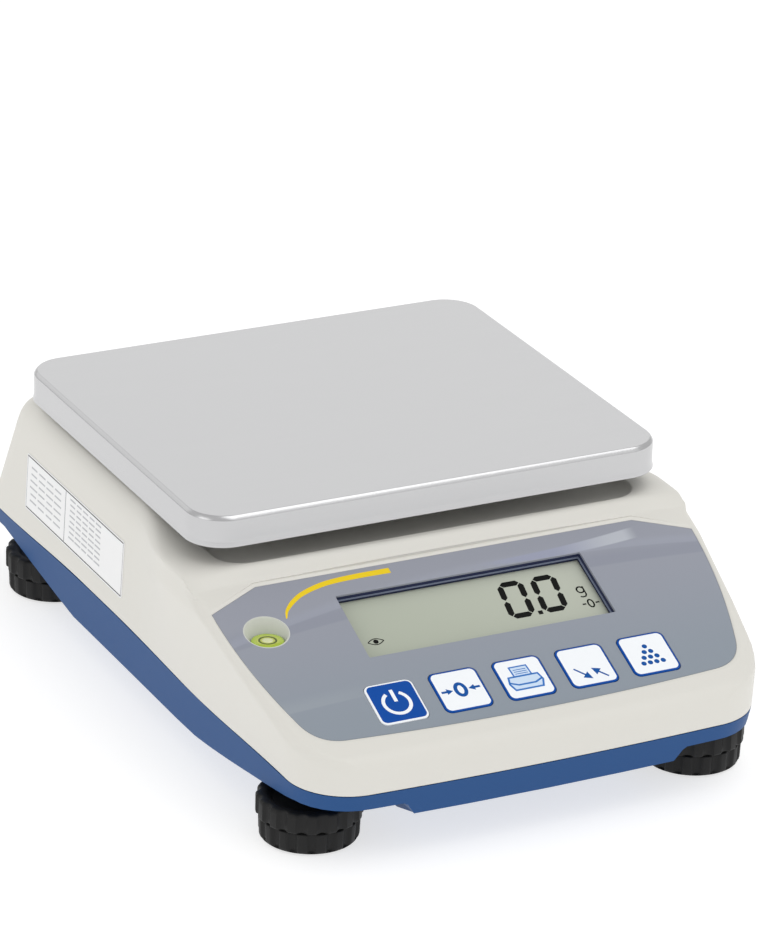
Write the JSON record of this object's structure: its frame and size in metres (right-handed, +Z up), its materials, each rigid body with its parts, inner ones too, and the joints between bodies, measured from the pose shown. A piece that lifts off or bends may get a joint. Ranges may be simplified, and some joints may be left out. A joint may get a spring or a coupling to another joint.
{
  "type": "counting scale",
  "caption": "Bench counting scale with a stainless pan, sloping keypad console with recessed display, bubble level and levelling feet",
  "frame": {"origin": "centre of the underside of the part's box, on the bench", "axes": "+X to the user's right, +Y away from the user, +Z up"},
  "size_m": [0.193, 0.2836, 0.095],
  "materials": {
    "steel_pan": "satin",
    "housing_white": "fine grain",
    "housing_blue": "fine grain",
    "overlay_grey": "satin film",
    "frame_dark": "satin",
    "display_grey": "satin",
    "key_blue": "satin film",
    "key_white": "satin film",
    "level_green": "clear",
    "label_white": "satin",
    "rubber_black": "matt",
    "knob_black": "satin",
    "cast_alloy": "cast",
    "cell_alloy": "milled",
    "screw_steel": "zinc",
    "insert_brass": "turned",
    "board_green": "solder mask",
    "parts_black": "satin",
    "ribbon_grey": "satin",
    "cell_jacket": "sleeve",
    "contact_nickel": "plated",
    "shell_nickel": "plated"
  },
  "bodies": {
    "housing": {"upper_housing": "housing_white", "lower_housing": "housing_blue", "keypad_overlay": "overlay_grey", "display_frame": "frame_dark", "display_glass": "display_grey", "display_board": "board_green", "tact_switches": "parts_black", "level_vial": "level_green", "main_board": "board_green", "board_parts": "parts_black", "board_ribbon": "ribbon_grey", "battery_cells": "cell_jacket", "battery_contacts": "contact_nickel", "serial_socket": "shell_nickel", "jack_screws": "screw_steel", "power_socket": "parts_black", "housing_screws": "screw_steel", "rating_label": "label_white", "foot_inserts": "insert_brass", "load_cell": "cell_alloy", "cell_screws": "screw_steel", "overload_stop": "screw_steel", "cell_lead": "parts_black"},
    "platform": {"pan_support": "cast_alloy", "support_pads": "rubber_black", "support_bridge": "cast_alloy", "bridge_screws": "screw_steel"},
    "pan": {"weighing_pan": "steel_pan"},
    "cover": {"battery_cover": "housing_blue"},
    "key_power": {"key_power": "key_blue"},
    "key_zero": {"key_zero": "key_white"},
    "key_print": {"key_print": "key_white"},
    "key_unit": {"key_unit": "key_white"},
    "key_count": {"key_count": "key_white"},
    "sole_front_left": {"sole_front_left": "rubber_black"},
    "knob_front_left": {"knob_front_left": "knob_black"},
    "sole_front_right": {"sole_front_right": "rubber_black"},
    "knob_front_right": {"knob_front_right": "knob_black"},
    "sole_rear_left": {"sole_rear_left": "rubber_black"},
    "knob_rear_left": {"knob_rear_left": "knob_black"},
    "sole_rear_right": {"sole_rear_right": "rubber_black"},
    "knob_rear_right": {"knob_rear_right": "knob_black"}
  },
  "joints": [
    {"name": "platform_load", "type": "slide", "parent": "housing", "child": "platform", "axis": [0, 0, 1], "range_m": [-0.0005, 0], "stiffness_N_per_m": 30000, "springref_m": 0.0003, "deforming": ["load_cell"]},
    {"name": "pan_lift", "type": "slide", "parent": "platform", "child": "pan", "axis": [0, 0, 1], "range_m": [0, 0.05]},
    {"name": "key_power_press", "type": "slide", "parent": "housing", "child": "key_power", "axis": [0, 0.3867, -0.9222], "range_m": [0, 0.0004], "stiffness_N_per_m": 1500, "springref_m": -0.0004},
    {"name": "key_zero_press", "type": "slide", "parent": "housing", "child": "key_zero", "axis": [0, 0.3867, -0.9222], "range_m": [0, 0.0004], "stiffness_N_per_m": 1500, "springref_m": -0.0004},
    {"name": "key_print_press", "type": "slide", "parent": "housing", "child": "key_print", "axis": [0, 0.3867, -0.9222], "range_m": [0, 0.0004], "stiffness_N_per_m": 1500, "springref_m": -0.0004},
    {"name": "key_unit_press", "type": "slide", "parent": "housing", "child": "key_unit", "axis": [0, 0.3867, -0.9222], "range_m": [0, 0.0004], "stiffness_N_per_m": 1500, "springref_m": -0.0004},
    {"name": "key_count_press", "type": "slide", "parent": "housing", "child": "key_count", "axis": [0, 0.3867, -0.9222], "range_m": [0, 0.0004], "stiffness_N_per_m": 1500, "springref_m": -0.0004},
    {"name": "cover_open", "type": "hinge", "parent": "housing", "child": "cover", "pos_m": [0, -0.0505, 0.0126], "axis": [1, 0, 0], "range_deg": [0, 85]},
    {"name": "rise_front_left", "type": "slide", "parent": "housing", "child": "sole_front_left", "axis": [0, 0, 1], "range_m": [-0.00505, 0.0001]},
    {"name": "turn_front_left", "type": "hinge", "parent": "sole_front_left", "child": "knob_front_left", "pos_m": [-0.0736, -0.1095, 0.01], "axis": [0, 0, 1], "range_deg": [-1440, 0]},
    {"name": "rise_front_right", "type": "slide", "parent": "housing", "child": "sole_front_right", "axis": [0, 0, 1], "range_m": [-0.00505, 0.0001]},
    {"name": "turn_front_right", "type": "hinge", "parent": "sole_front_right", "child": "knob_front_right", "pos_m": [0.0736, -0.1095, 0.01], "axis": [0, 0, 1], "range_deg": [-1440, 0]},
    {"name": "rise_rear_left", "type": "slide", "parent": "housing", "child": "sole_rear_left", "axis": [0, 0, 1], "range_m": [-0.00505, 0.0001]},
    {"name": "turn_rear_left", "type": "hinge", "parent": "sole_rear_left", "child": "knob_rear_left", "pos_m": [-0.0736, 0.1095, 0.01], "axis": [0, 0, 1], "range_deg": [-1440, 0]},
    {"name": "rise_rear_right", "type": "slide", "parent": "housing", "child": "sole_rear_right", "axis": [0, 0, 1], "range_m": [-0.00505, 0.0001]},
    {"name": "turn_rear_right", "type": "hinge", "parent": "sole_rear_right", "child": "knob_rear_right", "pos_m": [0.0736, 0.1095, 0.01], "axis": [0, 0, 1], "range_deg": [-1440, 0]}
  ],
  "couplings": [
    {"joint": "rise_front_left", "follows": "turn_front_left", "m_per_rad": 0.00019894},
    {"joint": "rise_front_right", "follows": "turn_front_right", "m_per_rad": 0.00019894},
    {"joint": "rise_rear_left", "follows": "turn_rear_left", "m_per_rad": 0.00019894},
    {"joint": "rise_rear_right", "follows": "turn_rear_right", "m_per_rad": 0.00019894}
  ]
}
